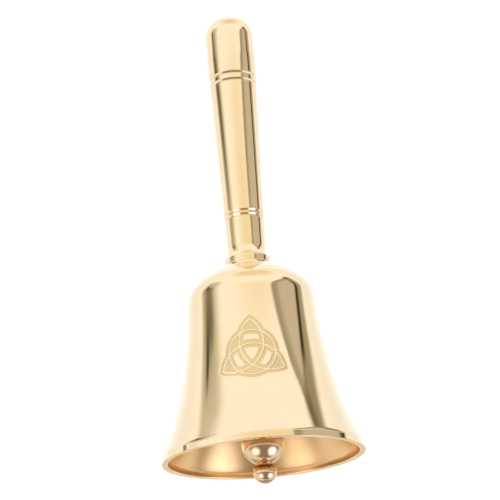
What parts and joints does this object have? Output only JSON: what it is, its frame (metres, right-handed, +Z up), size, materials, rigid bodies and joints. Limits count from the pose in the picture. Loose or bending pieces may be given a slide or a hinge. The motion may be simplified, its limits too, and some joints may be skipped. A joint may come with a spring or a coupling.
{
  "type": "sanctus bell",
  "caption": "Small turned brass altar hand bell with a tapered grooved handle, a flared mouth and a hanging clapper that swings to strike the wall.",
  "frame": {"origin": "centre of the bell's mouth, in the plane of the rim that it stands on", "axes": "+Z up the bell's axis to the domed end of the handle; -Y is the front, where the ornament is engraved; +X is the viewer's right"},
  "size_m": [0.06, 0.06, 0.1513],
  "materials": {
    "polished_brass": "polished and lacquered",
    "plain_brass": "as machined, dull",
    "rose_brass": "polished, slightly redder"
  },
  "bodies": {
    "root": {"bell_shell": "polished_brass", "neck_collar": "polished_brass", "handle": "polished_brass", "crown_washer": "plain_brass", "lock_nut": "plain_brass", "eye_bolt": "plain_brass"},
    "ring": {"hanger_ring": "plain_brass"},
    "clapper": {"clapper_stem": "rose_brass", "striker_ball": "rose_brass", "tail_ball": "rose_brass"}
  },
  "joints": [
    {"name": "ring_turn", "type": "hinge", "parent": "root", "child": "ring", "pos_m": [0, 0, 0.0406], "axis": [0, 0, 1], "range_deg": [-40, 40]},
    {"name": "clapper_swing", "type": "hinge", "parent": "ring", "child": "clapper", "pos_m": [0, 0, 0.033], "axis": [0, 1, 0], "range_deg": [-38, 38]}
  ]
}
